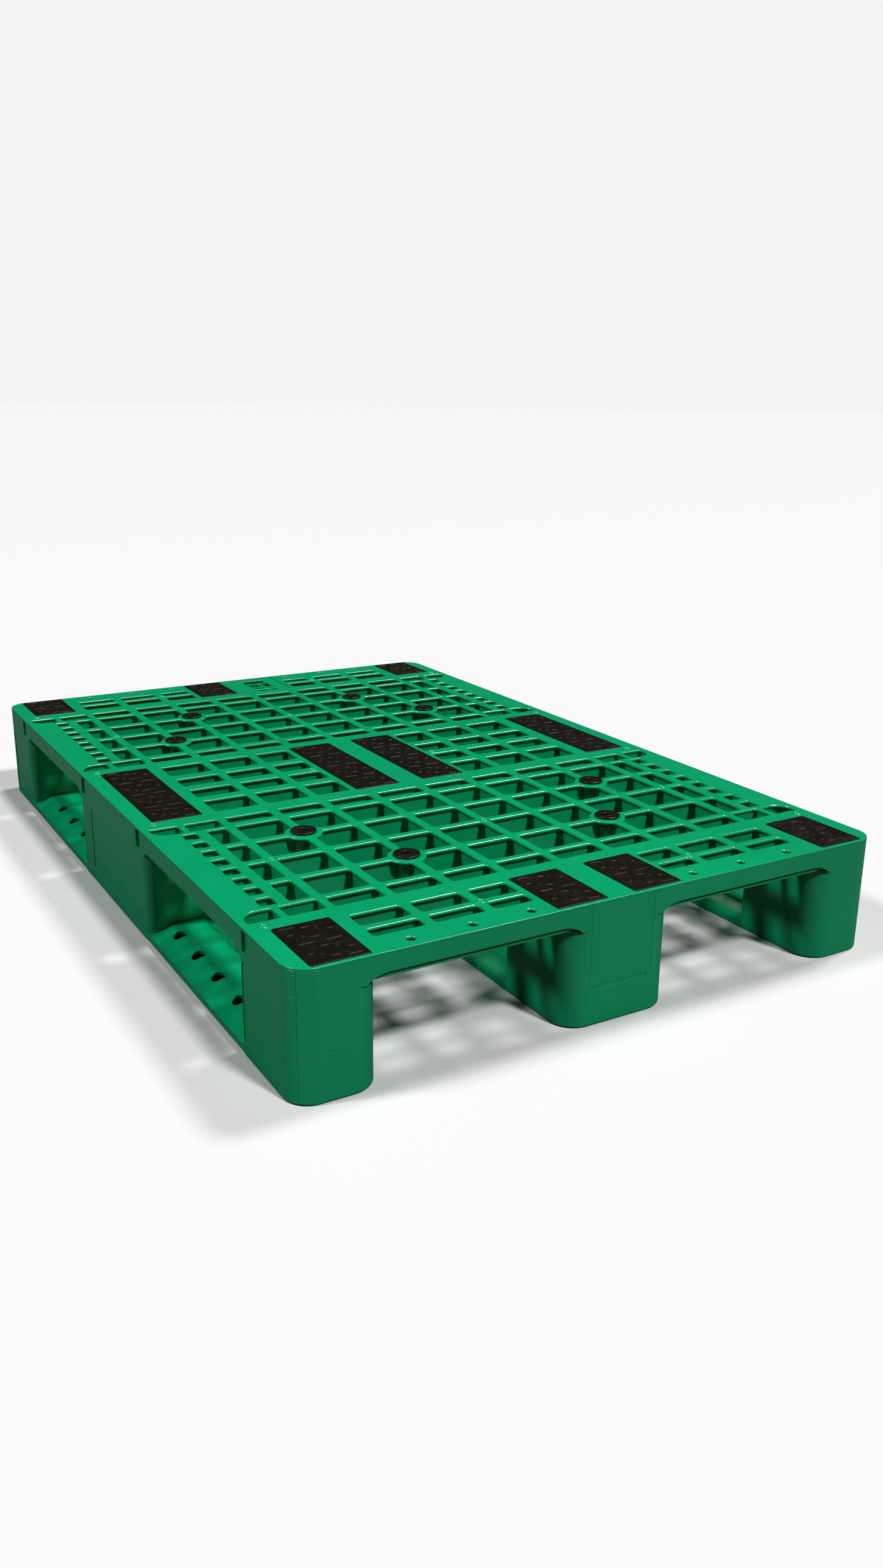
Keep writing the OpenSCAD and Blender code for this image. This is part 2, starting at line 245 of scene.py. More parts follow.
def mirrored(loop, sx, sy):
    """The loop in another quarter, still with the solid on its left."""
    out = [(x * sx, y * sy) for x, y in loop]
    return out if sx * sy > 0 else out[::-1]


def in_quarters(loops):
    """Each loop in all four quarters of the deck."""
    return [mirrored(loop, sx, sy) for loop in loops for sx in SIDES for sy in SIDES]


def four_spots(spots):
    """Each spot in all four quarters of the deck."""
    return [(x * sx, y * sy) for x, y in spots for sx in SIDES for sy in SIDES]


def offset(loop, d):
    """The loop moved by d towards its solid side."""
    out = []
    n = len(loop)
    for i, p in enumerate(loop):
        a = Vector(loop[i - 1])
        b = Vector(loop[(i + 1) % n])
        p = Vector(p)
        u = (p - a).normalized()
        v = (b - p).normalized()
        nu = Vector((-u.y, u.x))
        nv = Vector((-v.y, v.x))
        m = nu + nv
        m.normalize()
        m /= max(0.5, m.dot(nu))
        out.append((p.x + m.x * d, p.y + m.y * d))
    return out


# ---------------------------------------------------------------- meshes


class Shell:
    """Collects moulded shapes in millimetres and makes one object of them."""

    def __init__(self, name):
        self.name = name
        self.verts = []
        self.faces = []

    def add(self, verts, faces, place=None):
        """Adds verts and faces; place, if given, maps each (x, y, z) to where it goes."""
        base = len(self.verts)
        flip = False
        if place:
            corner = Vector(place((0, 0, 0)))
            arms = [Vector(place(arm)) - corner for arm in ((1, 0, 0), (0, 1, 0), (0, 0, 1))]
            flip = arms[0].cross(arms[1]).dot(arms[2]) < 0
        self.verts += [place(v) if place else v for v in verts]
        for f in faces:
            self.faces.append(tuple(base + i for i in (reversed(f) if flip else f)))

    def merge(self, other, place=None):
        """Adds all of another shell."""
        self.add(other.verts, other.faces, place)

    def plate(self, loops, top, foot, foot_r=0.5, place=None, steps=4):
        """A plate with rounded lips. loops is [(points, lip radius), ...], the outline first.

        foot_r rounds the lower edges: one radius, or the outline's and then the holes'.
        """
        verts = []
        faces = []
        rings = []
        feet = foot_r if isinstance(foot_r, tuple) else (foot_r, foot_r)
        for number, (points, lip) in enumerate(loops):
            low_r = feet[min(number, 1)]
            levels = []
            for k in range(steps + 1):
                a = math.pi / 2 * k / steps
                levels.append((lip * (1 - math.sin(a)), top - lip * (1 - math.cos(a))))
            for k in range(4):
                a = math.pi / 2 * (1 - k / 3)
                levels.append((low_r * (1 - math.sin(a)), foot + low_r * (1 - math.cos(a))))
            ring = []
            for d, z in levels:
                ring.append(len(verts))
                verts += [(x, y, z) for x, y in offset(points, d)]
            n = len(points)
            for a, b in zip(ring, ring[1:]):
                for i in range(n):
                    j = (i + 1) % n
                    faces.append((a + i, b + i, b + j, a + j))
            rings.append((ring, n))
        for end in (0, -1):
            index = [ring[end] + i for ring, n in rings for i in range(n)]
            polys = [
                [Vector((verts[ring[end] + i][0], verts[ring[end] + i][1], 0)) for i in range(n)]
                for ring, n in rings
            ]
            for t in tessellate_polygon(polys):
                a, b, c = (index[i] for i in t)
                pa, pb, pc = (Vector(verts[i][:2]) for i in (a, b, c))
                up = (pb - pa).x * (pc - pa).y - (pb - pa).y * (pc - pa).x > 0
                faces.append((a, b, c) if up == (end == 0) else (a, c, b))
        self.add(verts, faces, place)

    def lathe(self, profile, x, y, z, count=48):
        """A turned piece: profile is a closed list of (radius, height), upright at x, y, z."""
        verts = []
        faces = []
        n = len(profile)
        for k in range(count):
            a = 2 * math.pi * k / count
            verts += [(x + r * math.cos(a), y + r * math.sin(a), z + h) for r, h in profile]
        for k in range(count):
            m = (k + 1) % count
            for i in range(n):
                j = (i + 1) % n
                faces.append((k * n + i, m * n + i, m * n + j, k * n + j))
        self.add(verts, faces)

    def lump(self):
        """A bare object of this shell, still in millimetres, for cutting."""
        mesh = bpy.data.meshes.new(self.name)
        mesh.from_pydata(self.verts, [], self.faces)
        piece = bpy.data.objects.new(self.name, mesh)
        bpy.context.scene.collection.objects.link(piece)
        return piece

    def less(self, cutter, bevel=0.0):
        """This shell with another one cut out of it, and the new edges eased by bevel."""
        solid = self.lump()
        tool = cutter.lump()
        cut = solid.modifiers.new("cut", "BOOLEAN")
        cut.operation = "DIFFERENCE"
        cut.solver = "EXACT"
        cut.object = tool
        if bevel:
            ease = solid.modifiers.new("ease", "BEVEL")
            ease.width = bevel
            ease.segments = 2
            ease.limit_method = "ANGLE"
            ease.angle_limit = math.radians(40)
        graph = bpy.context.evaluated_depsgraph_get()
        mesh = solid.evaluated_get(graph).to_mesh()
        out = Shell(self.name)
        out.verts = [tuple(v.co) for v in mesh.vertices]
        out.faces = [tuple(p.vertices) for p in mesh.polygons]
        for piece in (solid, tool):
            data = piece.data
            bpy.data.objects.remove(piece)
            bpy.data.meshes.remove(data)
        return out

    def finish(self, material, node, smooth_deg=40):
        """Makes the object, in metres, riding on the root body in place of its CAD node."""
        mesh = bpy.data.meshes.new(self.name)
        mesh.from_pydata([(x * MM, y * MM, z * MM) for x, y, z in self.verts], [], self.faces)
        mesh.validate()
        mesh.update()
        mesh.materials.append(material)
        piece = bpy.data.objects.new(self.name, mesh)
        bpy.context.scene.collection.objects.link(piece)
        for poly in mesh.polygons:
            poly.use_smooth = True
        mesh.set_sharp_from_angle(angle=math.radians(smooth_deg))
        normals = piece.modifiers.new("weighted", "WEIGHTED_NORMAL")
        normals.keep_sharp = True
        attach(piece, "root")
        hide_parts(node)
        return piece


# ---------------------------------------------------------------- materials


def srgb(r, g, b):
    """A linear colour from 0-255 display values."""
    def line(c):
        c /= 255
        return c / 12.92 if c <= 0.04045 else ((c + 0.055) / 1.055) ** 2.4
    return (line(r), line(g), line(b), 1)


class Nodes:
    """A short way to build a shader's node tree."""

    def __init__(self, name):
        self.material = bpy.data.materials.new(name)
        self.material.use_nodes = True
        self.tree = self.material.node_tree
        self.shader = self.tree.nodes["Principled BSDF"]
        self.coords = self.new("ShaderNodeTexCoord").outputs["Object"]

    def new(self, kind, **inputs):
        node = self.tree.nodes.new(kind)
        for name, value in inputs.items():
            self.put(node.inputs[name.replace("_", " ")], value)
        return node

    def put(self, socket, value):
        if isinstance(value, bpy.types.NodeSocket):
            self.tree.links.new(value, socket)
        else:
            socket.default_value = value

    def noise(self, scale, detail=2.0, rough=0.5, vector=None):
        node = self.new("ShaderNodeTexNoise", Scale=scale, Detail=detail, Roughness=rough)
        self.put(node.inputs["Vector"], vector or self.coords)
        return node.outputs["Fac"]

    def stretch(self, x, y, z):
        node = self.new("ShaderNodeMapping")
        self.put(node.inputs["Vector"], self.coords)
        node.inputs["Scale"].default_value = (x, y, z)
        return node.outputs["Vector"]

    def remap(self, value, low, high, to_low=0.0, to_high=1.0):
        node = self.new("ShaderNodeMapRange")
        self.put(node.inputs["Value"], value)
        node.inputs["From Min"].default_value = low
        node.inputs["From Max"].default_value = high
        node.inputs["To Min"].default_value = to_low
        node.inputs["To Max"].default_value = to_high
        return node.outputs["Result"]

    def math(self, kind, a, b=0.0):
        node = self.new("ShaderNodeMath")
        node.operation = kind
        self.put(node.inputs[0], a)
        self.put(node.inputs[1], b)
        return node.outputs[0]

    def mix(self, factor, a, b):
        node = self.new("ShaderNodeMix")
        node.data_type = "RGBA"
        self.put(node.inputs[0], factor)
        self.put(node.inputs[6], a)
        self.put(node.inputs[7], b)
        return node.outputs[2]

    def bump(self, height, strength, distance, normal=None):
        node = self.new("ShaderNodeBump")
        node.inputs["Strength"].default_value = strength
        node.inputs["Distance"].default_value = distance
        self.put(node.inputs["Height"], height)
        if normal:
            self.put(node.inputs["Normal"], normal)
        return node.outputs["Normal"]


def green_plastic():
    """Moulded polyethylene: mottled colour, fine grain, hair scratches and pale scuffs."""
    n = Nodes("green_plastic")
    base = srgb(0, 161, 103)
    deep = srgb(0, 153, 99)
    pale = srgb(70, 205, 150)
    cloud = n.remap(n.noise(6.0, 3.0), 0.35, 0.65)
    colour = n.mix(cloud, deep, base)
    streak = n.remap(n.noise(1.0, 3.0, 0.6, n.stretch(110, 110, 7)), 0.35, 0.65)
    colour = n.mix(n.math("MULTIPLY", streak, 0.35), colour, deep)
    speck = n.remap(n.noise(900.0, 1.0), 0.745, 0.78)
    colour = n.mix(n.math("MULTIPLY", speck, 0.5), colour, pale)
    scratch = n.remap(n.noise(60.0, 4.0, 0.6, n.stretch(14, 1, 1)), 0.70, 0.76)
    colour = n.mix(n.math("MULTIPLY", scratch, 0.22), colour, pale)
    n.put(n.shader.inputs["Base Color"], colour)
    gloss = n.remap(n.noise(25.0, 4.0, 0.6), 0.3, 0.7, 0.19, 0.27)
    n.put(n.shader.inputs["Roughness"], gloss)
    n.shader.inputs["Specular IOR Level"].default_value = 0.9
    n.shader.inputs["Specular Tint"].default_value = (0.85, 1, 0.75, 1)
    grain = n.bump(n.noise(1400.0, 2.0, 0.6), 0.12, 0.0002)
    wave = n.bump(n.noise(30.0, 2.0), 0.04, 0.002, grain)
    n.put(n.shader.inputs["Normal"], wave)
    return n.material


def black_rubber(name, tone, rough):
    """Moulded rubber: near black, dusty in patches, with a fine grain."""
    n = Nodes(name)
    base = srgb(*tone)
    dust = srgb(*(c + 14 for c in tone))
    patch = n.remap(n.noise(45.0, 5.0, 0.65), 0.55, 0.75)
    n.put(n.shader.inputs["Base Color"], n.mix(n.math("MULTIPLY", patch, 0.5), base, dust))
    n.put(n.shader.inputs["Roughness"], n.remap(n.noise(70.0, 3.0), 0.3, 0.7, rough, rough + 0.15))
    n.shader.inputs["Specular IOR Level"].default_value = 0.4
    n.shader.inputs["Specular Tint"].default_value = (1, 0.92, 0.8, 1)
    n.put(n.shader.inputs["Normal"], n.bump(n.noise(1800.0, 2.0, 0.6), 0.2, 0.0002))
    return n.material


def floor_paint():
    """Plain pale studio floor, which throws little light back onto the pallet's sides."""
    n = Nodes("floor_paint")
    seen = n.new("ShaderNodeLightPath").outputs["Is Camera Ray"]
    pale = (0.72, 0.72, 0.72, 1)
    dim = (0.04, 0.04, 0.04, 1)
    n.put(n.shader.inputs["Base Color"], n.mix(seen, dim, pale))
    n.shader.inputs["Roughness"].default_value = 0.9
    return n.material


GREEN = green_plastic()
PAD_BLACK = black_rubber("pad_black", (20, 16, 9), 0.26)
GROMMET_BLACK = black_rubber("grommet_black", (18, 16, 13), 0.28)


# ---------------------------------------------------------------- the deck


def spans(cols, rows):
    """Every pair of a column and a row, as (x0, x1, y0, y1)."""
    return [(x[0], x[1], y[0], y[1]) for x in cols for y in rows]


INNER_COLS = [CENTRE_COL, column(0), column(1), column(2)]
SLIM_COLS = [SLIM_COL, column(1), column(2)]
QUARTER = (
    spans(INNER_COLS + [NARROW_COL], BIG_ROWS)
    + spans(INNER_COLS, EDGE_ROWS)
    + spans(SLIM_COLS, MID_ROWS + END_ROWS)
)


def side_openings(grow=0.0):
    """The openings near the long edges; two of them have one big round corner."""
    loops = []
    small = max(SMALL_R - grow / 4, 1)
    for i, (y0, y1) in enumerate(SIDE_ROWS):
        for j, (x0, x1) in enumerate(SIDE_COLS):
            radii = [small] * 4
            if j == 1:
                radii[2 if i == 0 else 3] = BIG_CORNER
            loops.append(rectangle(x0 - grow, x1 + grow, y0 - grow, y1 + grow, radii))
    return loops


def skin_holes():
    """Openings of the skin in one quarter, each with its lip radius."""
    holes = []
    for x0, x1, y0, y1 in QUARTER:
        boss = [g for g in GROMMETS if near((x0, x1, y0, y1), g)]
        if boss:
            holes.append(cell_by_boss(x0, x1, y0, y1, boss[0]))
        else:
            holes.append(rectangle(x0, x1, y0, y1))
    for y0, y1 in SQUARE_ROWS:
        holes.append(rectangle(*SQUARE_COL, y0, y1, SMALL_R))
    return holes + side_openings()


def near(span, point):
    """Whether one corner of the span lies within a grommet's boss."""
    x0, x1, y0, y1 = span
    corners = [(x0, y0), (x0, y1), (x1, y1), (x1, y0)]
    return any(math.dist(c, point) < BOSS_R for c in corners)


PADS = {n: box_mm(n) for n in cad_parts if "pad" in n}
SEAT_GAP = 0.5
SEAT_DEPTH = 2.2


def seats():
    """Outlines of the pads' seats: one round every pad, and the empty one opposite its twin."""
    boxes = [(low.x, high.x, low.y, high.y) for low, high in PADS.values()]
    twin = min(boxes, key=lambda b: (b[0], -b[2]) if b[0] > -HALF_W / 2 and b[2] > 0 else (9e9, 0))
    empty = (-twin[1], -twin[0], twin[2], twin[3])
    grow = [-SEAT_GAP, SEAT_GAP, -SEAT_GAP, SEAT_GAP]
    grown = [[v + g for v, g in zip(b, grow)] for b in boxes + [empty]]
    return grown, grown[-1]


SEATS, EMPTY_SEAT = seats()


def deck_outline(inset=0.0):
    """The deck's outline, moved inwards."""
    w = HALF_W - inset
    length = HALF_L - inset
    return rectangle(-w, w, -length, length, CORNER_R - inset, hole=False, step_deg=6)


def deck_skin(shell):
    """The top skin, with a rounded lip round every opening."""
    loops = [(deck_outline(), RIM_R)]
    loops += [(loop, LIP_R) for loop in in_quarters(skin_holes())]
    drains = [circle(x, DRAIN_Y, DRAIN_R) for x in DRAIN_X]
    dimples = [circle(x, y, DIMPLE_R, 16) for x in DIMPLE_X for y in DIMPLE_Y]
    loops += [(loop, DRAIN_LIP) for loop in in_quarters(drains)]
    loops += [(loop, DIMPLE_LIP) for loop in in_quarters(dimples)]
    loops += [(rectangle(*s, PAD_CORNER_R), SEAT_LIP) for s in SEATS]
    loops += [(circle(x, y, BOSS_BORE_R), SEAT_LIP) for x, y in four_spots(GROMMETS)]
    shell.plate(loops, TOP, TOP - SKIN)


FLOOR_MARGIN = 2
FLOOR_LIP = 0.2
SEAT_WINDOW_X = (6, 46)
DIMPLE_DEPTH = 0.9


def seat_floors(shell):
    """The floors of the seats and dimples; the empty seat's floor has two windows."""
    m = FLOOR_MARGIN
    for s in SEATS:
        x0, x1, y0, y1 = s
        outline = rectangle(x0 - m, x1 + m, y0 - m, y1 + m, PAD_CORNER_R, hole=False)
        loops = [(outline, FLOOR_LIP)]
        if s is EMPTY_SEAT:
            a, b = (x0 + x for x in SEAT_WINDOW_X)
            loops.append((rectangle(a, b, y0 + 27, y1 - 10), 1.0))
            loops.append((rectangle(a, b, y0 + 7, y0 + 20), 1.0))
        shell.plate(loops, TOP - SEAT_DEPTH, TOP - SKIN - 0.6, FLOOR_LIP)
    for x, y in four_spots([(x, y) for x in DIMPLE_X for y in DIMPLE_Y]):
        disc = [(circle(x, y, DIMPLE_FLOOR_R, 16, hole=False), FLOOR_LIP)]
        shell.plate(disc, TOP - DIMPLE_DEPTH, TOP - SKIN - 0.4, FLOOR_LIP)


# Hidden spaces between the webs: where they end near the skirt, and their spans along the deck
WEB_EDGE_X = 394.5
SHORT_WEB_ROW = (568.5, 594.5)
HIDDEN_ROWS = [(120.5, 134.5), (479.5, 493.0), SHORT_WEB_ROW]
WINDOW_ROWS = [(118.5, 136), (477.5, 496)]
PAD_WEB_ROWS = [(3, 57), (61, 116), (500, 532), (536, 564.3)]
SIDE_WEB_COL = (300, 346)
PAD_WEB_COLS = [(3, 46), (50, 86), SIDE_WEB_COL, (350, WEB_EDGE_X)]
WEB_R = 2.5


def web_cells():
    """Spaces between the webs in one quarter.

    Each opening is grown by the lip's overhang; the others are hidden under the skin.
    """
    g = OVERHANG
    cells = [(x0 - g, x1 + g, y0 - g, y1 + g) for x0, x1, y0, y1 in QUARTER]
    cells += [(SQUARE_COL[0] - 5, SQUARE_COL[1] + 2, y0 - g, y1 + g) for y0, y1 in SQUARE_ROWS]
    cols = [(a - g, b + g) for a, b in INNER_COLS]
    cells += [(a, b, y0, y1) for y0, y1 in HIDDEN_ROWS for a, b in cols]
    cells += [(SIDE_WEB_COL[0], WEB_EDGE_X, y0, y1) for y0, y1 in WINDOW_ROWS]
    cells += spans([SIDE_WEB_COL], [SHORT_WEB_ROW])
    cells += [(a, b, y0, y1) for y0, y1 in PAD_WEB_ROWS for a, b in PAD_WEB_COLS]
    cells += [(SQUARE_COL[1] + 6, WEB_EDGE_X, y0 - g, y1 + g) for y0, y1 in BIG_ROWS]
    return cells


def deck_webs(shell):
    """The webs under the skin, as one deep plate full of cells."""
    holes = [rectangle(*c, WEB_R) for c in web_cells()]
    x0, x1 = PAD_WEB_COLS[3]
    holes.append(rectangle(x0, x1, *SHORT_WEB_ROW, [WEB_R, WEB_R, 24, WEB_R], step_deg=6))
    holes += side_openings(grow=2.5)
    loops = [(deck_outline(SKIRT - 0.3), HIDDEN_LIP)]
    loops += [(loop, HIDDEN_LIP) for loop in in_quarters(holes)]
    shell.plate(loops, TOP - SKIN + 0.3, WEB_FOOT, 0.6, steps=1)
    for x, y in four_spots(GROMMETS):
        wall = circle(x, y, BOSS_TUBE_R, hole=False)
        tube = [(wall, HIDDEN_LIP), (circle(x, y, BOSS_BORE_R), HIDDEN_LIP)]
        shell.plate(tube, TOP - SKIN + 0.2, WEB_FOOT, 0.5)


BLOCK_TOP = SKIRT_FOOT
MID_BLOCK_Y = 148
END_BLOCK_Y = HALF_L - 140
WINDOW_Y = [126, 482.5]
WINDOW_HALF = 8
WINDOW_DEPTH = 28
SHORT_FOOT = TOP - 22
LONG_FOOT = TOP - 25
SHORT_ARCH_R = 39
LONG_ARCH_R = 12
FLAT_X = [43, 332]
LINE_X = [-43, 43]
LINE_HALF = 0.3
LINE_DEPTH = 0.3


def arch_edge(a, b, top, foot, r):
    """Lower edge of the skirt over one fork opening from a to b, with round corners of radius r."""
    drop = top - foot
    dx = math.sqrt(max(0.0, r * r - (r - drop) ** 2)) if drop < r else r
    steps = 6
    left = []
    for k in range(steps + 1):
        x = dx * (1 - k / steps)
        left.append((a + r - x, top - r + math.sqrt(r * r - x * x)))
    return left + [(a + b - u, v) for u, v in reversed(left)]


def skirt_side(length, arches, top, foot_r, windows):
    """One straight side of the skirt, drawn flat as (along, up, out)."""
    foot = SKIRT_FOOT
    half = length / 2
    points = [(half, TOP - SEAM), (-half, TOP - SEAM), (-half, foot)]
    for a, b in arches:
        points += arch_edge(a, b, top, foot, foot_r)
    points.append((half, foot))
    loops = [(points, SEAM_LIP)]
    for y in windows:
        h0 = TOP - WINDOW_DEPTH
        h1 = TOP - SEAM - 0.6
        loops.append((rectangle(y - WINDOW_HALF, y + WINDOW_HALF, h0, h1, 0.8), 0.35))
    part = Shell("skirt_side")
    part.plate(loops, SKIRT, 0, 0.2, steps=2)
    return part


def deck_skirt(shell):
    """The skirt: four straight sides and four round corners."""
    short = 2 * (HALF_W - CORNER_R)
    long = 2 * (HALF_L - CORNER_R)
    x_arches = [(-FLAT_X[1], -FLAT_X[0]), (FLAT_X[0], FLAT_X[1])]
    y_arches = [(-END_BLOCK_Y, -MID_BLOCK_Y), (MID_BLOCK_Y, END_BLOCK_Y)]
    windows = [-WINDOW_Y[1], -WINDOW_Y[0], WINDOW_Y[0], WINDOW_Y[1]]
    short_side = skirt_side(short, x_arches, SHORT_FOOT, SHORT_ARCH_R, [])
    long_side = skirt_side(long, y_arches, LONG_FOOT, LONG_ARCH_R, windows)
    lines = Shell("lines")
    for x in LINE_X:
        line = rectangle(x - LINE_HALF, x + LINE_HALF, SKIRT_FOOT - 5, TOP, 0, hole=False)
        lines.plate([(line, SEAM_LIP)], SKIRT + 2, SKIRT - LINE_DEPTH, SEAM_LIP, steps=1)
    short_side = short_side.less(lines)
    for s in SIDES:
        shell.merge(short_side, lambda v, s=s: (-s * v[0], s * (HALF_L - SKIRT + v[2]), v[1]))
        shell.merge(long_side, lambda v, s=s: (s * (HALF_W - SKIRT + v[2]), s * v[0], v[1]))
    for sx in SIDES:
        for sy in SIDES:
            skirt_corner(shell, sx, sy)


def skirt_corner(shell, sx, sy):
    """A quarter ring at one corner of the skirt, with a fine parting line cut down its middle."""
    cx = HALF_W - CORNER_R
    cy = HALF_L - CORNER_R
    steps = 14
    angles = [math.pi / 2 * k / steps for k in range(steps + 1)]
    arc = [(math.cos(a), math.sin(a)) for a in angles]
    outer = [(cx + CORNER_R * c, cy + CORNER_R * s) for c, s in arc]
    r = CORNER_R - SKIRT
    inner = [(cx + r * c, cy + r * s) for c, s in reversed(arc)]
    loop = mirrored(outer + inner, sx, sy)
    ring = Shell("ring")
    ring.plate([(loop, 0.05)], TOP - SEAM, SKIRT_FOOT, 0.02, steps=1)
    line = Shell("line")
    corner_line(line, SKIRT_FOOT - 5, TOP + 5, sx, sy)
    shell.merge(ring.less(line))


def arc_points(r, h, radius, start, end, steps=4):
    """Points of an arc in a turned profile, from one angle to another, in degrees."""
    out = []
    for k in range(steps + 1):
        a = math.radians(start + (end - start) * k / steps)
        out.append((r + radius * math.cos(a), h + radius * math.sin(a)))
    return out


def round_marks(shell):
    """Small raised rings left by the mould's pins, each with a nub in the middle."""
    ring = arc_points(4.4, -0.5, 1.5, 0, 180, 8)
    nub = [(0.05, -0.4), (1.7, -0.4)]
    nub += arc_points(0.9, -0.2, 0.8, 0, 90, 4)
    nub.append((0.05, 0.6))
    for x, y in MARKS:
        for sx in SIDES if x else (1,):
            for sy in SIDES if y else (1,):
                shell.lathe(ring, x * sx, y * sy, TOP, 28)
                shell.lathe(nub, x * sx, y * sy, TOP, 16)


def make_deck():
    """The deck moulding."""
    shell = Shell("deck_moulding")
    deck_skin(shell)
    seat_floors(shell)
    deck_webs(shell)
    deck_skirt(shell)
    round_marks(shell)
    return shell.finish(GREEN, "top_deck")


# ---------------------------------------------------------------- the runners

WALL = 4
SIDE_RUNNER_W = 100
CENTRE_HALF_W = 75
INNER_R = 32
OUTER_R = 14
SOLE_R = 3
NECK_INSET = SKIRT + 0.2
MID_RIBS = [-54.5, 0, 54.5]
END_RIBS = [535.75]

CREST = 20
EDGE = 10
RAMP = 29
BOARD_FOOT = 1.5
BOARD_INSET = 1.2
HOLE_Y = [183, 250, 317, 384]
HOLE_R = 9

PANEL_Z = (19, 111)
PANEL_DEPTH = 0.8
PANEL_R = 6


def block_walls(x0, x1, y0, y1, radii, ribs):
    """Cells of a hollow block, between its walls, its centre rib and its cross ribs."""
    xs = [x0 + WALL, (x0 + x1) / 2 - WALL / 2, (x0 + x1) / 2 + WALL / 2, x1 - WALL]
    ys = [y0 + WALL] + [y + s * WALL / 2 for y in ribs for s in SIDES] + [y1 - WALL]
    cells = []
    for i in (0, 2):
        for j in range(0, len(ys), 2):
            r = [2.0] * 4
            if j == 0:
                r[0 if i == 0 else 3] = radii[0 if i == 0 else 3] - WALL
            if j == len(ys) - 2:
                r[1 if i == 0 else 2] = radii[1 if i == 0 else 2] - WALL
            cells.append((xs[i], xs[i + 1], ys[j], ys[j + 1], r))
    return cells


def block(x0, x1, y0, y1, radii, ribs, cutter=None):
    """A hollow block with a closed sole; cutter takes panels and lines out of its faces."""
    cells = block_walls(x0, x1, y0, y1, radii, ribs)
    walls = Shell("walls")
    loops = [(rectangle(x0, x1, y0, y1, radii, hole=False, step_deg=6), 0.02)]
    loops += [(rectangle(*c), 0.05) for c in cells]
    walls.plate(loops, BLOCK_TOP, 0, (SOLE_R, 0.2), steps=1)
    part = walls.less(cutter) if cutter else walls
    inner = [max(r - WALL + 0.6, 2) for r in radii]
    inset = WALL - 0.6
    sole = rectangle(x0 + inset, x1 - inset, y0 + inset, y1 - inset, inner, hole=False, step_deg=6)
    part.plate([(sole, 0.1)], WALL, 0.02, 0.1, steps=1)
    inset = NECK_INSET
    neck_r = [r + inset for r in radii]
    neck = [(rectangle(x0 + inset, x1 - inset, y0 + inset, y1 - inset, neck_r, False, 6), 0.3)]
    inset += WALL
    neck.append((rectangle(x0 + inset, x1 - inset, y0 + inset, y1 - inset, neck_r, True, 6), 0.3))
    part.plate(neck, WEB_FOOT, BLOCK_TOP - 0.02, 0.02, steps=2)
    return part


def board_top(d, width):
    """Height of a skid board's top at distance d from one edge."""
    d = min(d, width - d)
    if d >= RAMP:
        return CREST
    return EDGE + (CREST - EDGE) * (d / RAMP) ** 1.6


def board(width, hole_xs, y0, y1):
    """A skid board along Y, centred on X = 0: ramped edges, a flat crest, channels underneath."""
    steps = 12
    near_edge = [RAMP * k / steps for k in range(steps + 1)]
    ds = near_edge + [width - d for d in reversed(near_edge)]
    half = width / 2
    top = [(half - d, board_top(d, width)) for d in ds]
    depth = CREST - WALL
    low = EDGE - WALL
    under = [(-half + WALL, low), (-half + RAMP, depth), (-WALL, depth), (-WALL, BOARD_FOOT)]
    foot = [(-half, BOARD_FOOT), (-half + WALL, BOARD_FOOT)] + under
    foot += [(-x, z) for x, z in reversed(under)] + [(half - WALL, BOARD_FOOT), (half, BOARD_FOOT)]
    part = Shell("board")
    part.plate([(top + foot, 0.02)], y1, y0, 0.02, lambda v: (v[0], v[2], v[1]), steps=1)
    drains = Shell("drains")
    for x in hole_xs:
        for y in HOLE_Y:
            drains.plate([(circle(x, y, HOLE_R, 36, hole=False), 0.02)], CREST + 10, -5, 0.02, steps=1)
    return part.less(drains, bevel=0.7)


def slot_cutter(cutter, loop, depth, place):
    """A shallow cut of a given outline; place puts its (along, up, out) at the face."""
    cutter.plate([(loop, 0.02)], 2, -depth, 0.02, place, steps=1)


def side_face(v):
    """From (along, up, out) to the outer face of the right-hand runner."""
    return (HALF_W + v[2], v[0], v[1])


def end_face(v):
    """From (along, up, out) to the end face at +Y."""
    return (v[0], HALF_L + v[2], v[1])


def latch_hook(part, y):
    """A tongue behind the skirt, with its nose in the latch window."""
    x = HALF_W - NECK_INSET
    top = TOP - 22
    profile = [(x - 3, BLOCK_TOP - 1), (x, BLOCK_TOP - 1), (x, top - 5), (x + 1.2, top - 3)]
    profile += [(x, top), (x - 3, top)]
    part.plate([(profile, 0.3)], y + 6, y - 6, 0.3, lambda v: (v[0], v[2], v[1]), steps=2)


def corner_line(cutter, low, high, sx=1, sy=1):
    """A fine parting line down the middle of one rounded corner."""
    loop = []
    turn = Matrix.Rotation(math.radians(45), 2)
    reach = CORNER_R - LINE_DEPTH
    for p in rectangle(reach, reach + 3, -LINE_HALF, LINE_HALF, 0, hole=False):
        v = turn @ Vector(p)
        loop.append((HALF_W - CORNER_R + v.x, HALF_L - CORNER_R + v.y))
    cutter.plate([(mirrored(loop, sx, sy), 0.02)], high, low, 0.02, steps=1)


def vertical_line(cutter, x, low):
    """A fine parting line down the end face at +Y."""
    line = rectangle(x - LINE_HALF, x + LINE_HALF, low, BLOCK_TOP + 5, 0, hole=False)
    slot_cutter(cutter, line, LINE_DEPTH, end_face)


